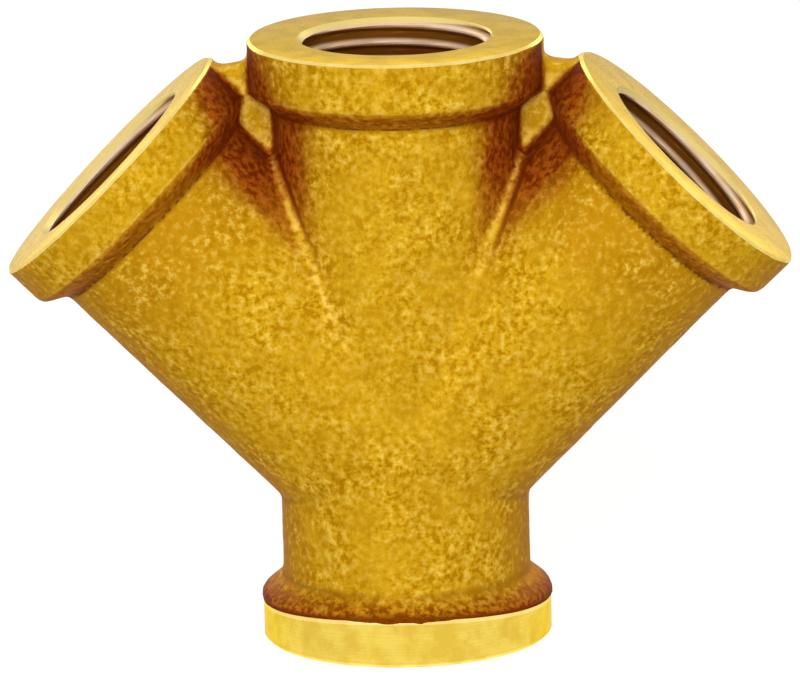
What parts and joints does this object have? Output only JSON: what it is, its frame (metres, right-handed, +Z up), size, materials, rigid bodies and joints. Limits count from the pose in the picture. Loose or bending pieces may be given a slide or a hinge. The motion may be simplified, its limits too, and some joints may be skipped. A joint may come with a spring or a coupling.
{
  "type": "pipe manifold",
  "caption": "Cast brass pipe manifold: a straight run with a branch on each side at 45 degrees, female pipe threads in collared mouths, flat webs between the collars.",
  "frame": {"origin": "centre of the machined inlet face, on which the body stands", "axes": "+Z up along the run from the inlet to the middle outlet, +X to the right hand branch, the outlets lie in the XZ plane"},
  "size_m": [0.0806, 0.0304, 0.0629],
  "materials": {
    "cast_brass": "sand cast skin, machined faces, inlet rim and tapped bores"
  },
  "bodies": {
    "root": {"manifold_body": "cast_brass"}
  },
  "joints": []
}
